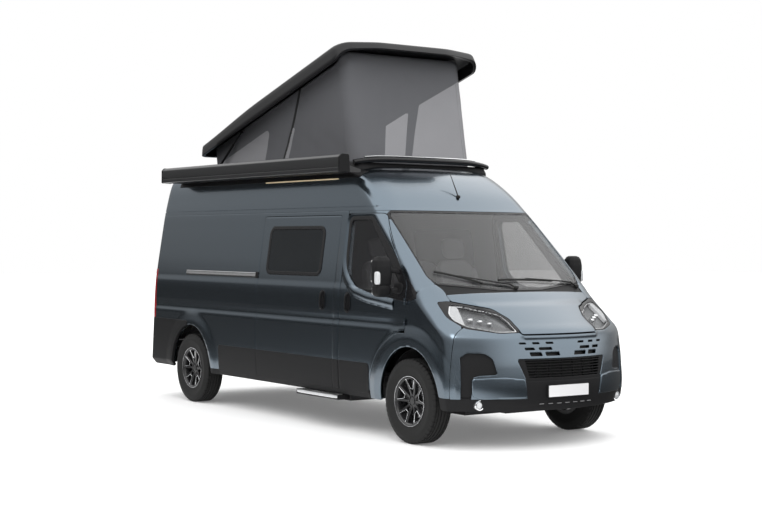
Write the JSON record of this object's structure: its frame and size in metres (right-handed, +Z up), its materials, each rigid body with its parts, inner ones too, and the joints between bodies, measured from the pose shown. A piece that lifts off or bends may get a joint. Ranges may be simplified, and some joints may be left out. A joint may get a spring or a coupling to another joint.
{
  "type": "camper van",
  "caption": "High-roof camper van with a rear-hinged pop-up roof and tent, side awning, sliding door, entrance step, opening cab and rear doors, bonnet and steered front wheels.",
  "frame": {"origin": "on the ground under the middle of the van's length and width", "axes": "+X forwards, +Y to the left side, +Z up"},
  "size_m": [5.998, 2.4754, 3.6353],
  "materials": {
    "paint": "metallic grey-blue, clear coated",
    "tinted_glass": "dark tinted, polished",
    "clear_glass": "clear, lightly tinted",
    "lamp_lens": "clear moulded lens",
    "red_lens": "red moulded lens",
    "black_plastic": "grained black",
    "chassis": "black underbody coating",
    "exhaust_steel": "dull steel",
    "seat_fabric": "woven dark grey",
    "furniture_board": "light board with satin finish",
    "awning_case": "black powder coat",
    "tent_cloth": "grey coated cloth",
    "shell_gloss": "black gel coat",
    "axle_steel": "machined and cast",
    "tyre": "matt rubber",
    "rim_black": "black lacquer with bright turned edges",
    "strut_black": "black",
    "strut_rod": "polished",
    "step_alu": "ribbed, anodised"
  },
  "bodies": {
    "van": {"floor_frame": "chassis", "side_wall_right": "paint", "side_wall_left": "paint", "sliding_door": "paint", "side_windows": "tinted_glass", "roof_panel": "paint", "cab_frame": "paint", "windscreen": "clear_glass", "front_wings": "paint", "front_bumper": "paint", "grille_slats": "black_plastic", "headlamps": "lamp_lens", "tail_lamps": "red_lens", "rear_bumper": "black_plastic", "side_cladding": "black_plastic", "arch_liners": "black_plastic", "front_subframe": "chassis", "rear_axle_beam": "chassis", "engine": "chassis", "exhaust": "exhaust_steel", "dashboard": "black_plastic", "cab_seats": "seat_fabric", "furniture": "furniture_board", "cushions": "seat_fabric", "awning": "awning_case", "roof_frame": "black_plastic", "tent": "tent_cloth", "hinge_pins": "axle_steel"},
    "cab_door_right": {"cab_door_right": "paint", "cab_glass_right": "clear_glass", "mirror_right": "black_plastic"},
    "cab_door_left": {"cab_door_left": "paint", "cab_glass_left": "clear_glass", "mirror_left": "black_plastic"},
    "rear_door_right": {"rear_door_right": "paint", "rear_glass_right": "tinted_glass"},
    "rear_door_left": {"rear_door_left": "paint", "rear_glass_left": "tinted_glass"},
    "bonnet": {"bonnet": "paint"},
    "knuckle_left": {"knuckle_left": "axle_steel"},
    "knuckle_right": {"knuckle_right": "axle_steel"},
    "wheel_front_left": {"tyre_front_left": "tyre", "rim_front_left": "rim_black"},
    "wheel_front_right": {"tyre_front_right": "tyre", "rim_front_right": "rim_black"},
    "wheel_rear_left": {"tyre_rear_left": "tyre", "rim_rear_left": "rim_black"},
    "wheel_rear_right": {"tyre_rear_right": "tyre", "rim_rear_right": "rim_black"},
    "roof_shell": {"roof_shell": "shell_gloss"},
    "strut_barrels": {"strut_barrels": "strut_black"},
    "strut_rods": {"strut_rods": "strut_rod"},
    "step": {"step_tread": "step_alu"}
  },
  "joints": [
    {"name": "cab_door_right_hinge", "type": "hinge", "parent": "van", "child": "cab_door_right", "pos_m": [1.99, -1.013, 1.14], "axis": [0, 0, 1], "range_deg": [0, 70]},
    {"name": "cab_door_left_hinge", "type": "hinge", "parent": "van", "child": "cab_door_left", "pos_m": [1.99, 1.013, 1.14], "axis": [0, 0, -1], "range_deg": [0, 70]},
    {"name": "rear_door_right_hinge", "type": "hinge", "parent": "van", "child": "rear_door_right", "pos_m": [-2.957, -0.8715, 1.1], "axis": [0, 0, 1], "range_deg": [0, 96]},
    {"name": "rear_door_left_hinge", "type": "hinge", "parent": "van", "child": "rear_door_left", "pos_m": [-2.957, 0.8715, 1.1], "axis": [0, 0, -1], "range_deg": [0, 96]},
    {"name": "bonnet_hinge", "type": "hinge", "parent": "van", "child": "bonnet", "pos_m": [2.27, 0, 1.296], "axis": [0, -1, 0], "range_deg": [0, 50]},
    {"name": "steer_left", "type": "hinge", "parent": "van", "child": "knuckle_left", "pos_m": [2.051, 0.86, 0.372], "axis": [0, 0, 1], "range_deg": [-35, 35]},
    {"name": "steer_right", "type": "hinge", "parent": "van", "child": "knuckle_right", "pos_m": [2.051, -0.86, 0.372], "axis": [0, 0, 1], "range_deg": [-35, 35]},
    {"name": "spin_front_left", "type": "hinge", "parent": "knuckle_left", "child": "wheel_front_left", "pos_m": [2.051, 0.905, 0.372], "axis": [0, 1, 0], "continuous": true},
    {"name": "spin_front_right", "type": "hinge", "parent": "knuckle_right", "child": "wheel_front_right", "pos_m": [2.051, -0.905, 0.372], "axis": [0, 1, 0], "continuous": true},
    {"name": "spin_rear_left", "type": "hinge", "parent": "van", "child": "wheel_rear_left", "pos_m": [-1.984, 0.905, 0.372], "axis": [0, 1, 0], "continuous": true},
    {"name": "spin_rear_right", "type": "hinge", "parent": "van", "child": "wheel_rear_right", "pos_m": [-1.984, -0.905, 0.372], "axis": [0, 1, 0], "continuous": true},
    {"name": "roof_lift", "type": "hinge", "parent": "van", "child": "roof_shell", "pos_m": [-2.62, 0, 2.53], "axis": [0, 1, 0], "range_deg": [0, 16.5], "deforming": ["tent"]},
    {"name": "strut_swing", "type": "hinge", "parent": "van", "child": "strut_barrels", "pos_m": [-1.83, 0, 2.56], "axis": [0, 1, 0], "range_deg": [0, 37.83]},
    {"name": "strut_stroke", "type": "slide", "parent": "strut_barrels", "child": "strut_rods", "axis": [0.8125, 0, 0.5829], "range_m": [-0.0583, 0]},
    {"name": "step_slide", "type": "slide", "parent": "van", "child": "step", "axis": [0, 1, 0], "range_m": [0, 0.24]}
  ],
  "couplings": [
    {"joint": "steer_right", "follows": "steer_left", "ratio": 1},
    {"joint": "strut_swing", "follows": "roof_lift", "ratio": 2.29},
    {"joint": "strut_stroke", "follows": "roof_lift", "m_per_rad": -0.2019}
  ]
}
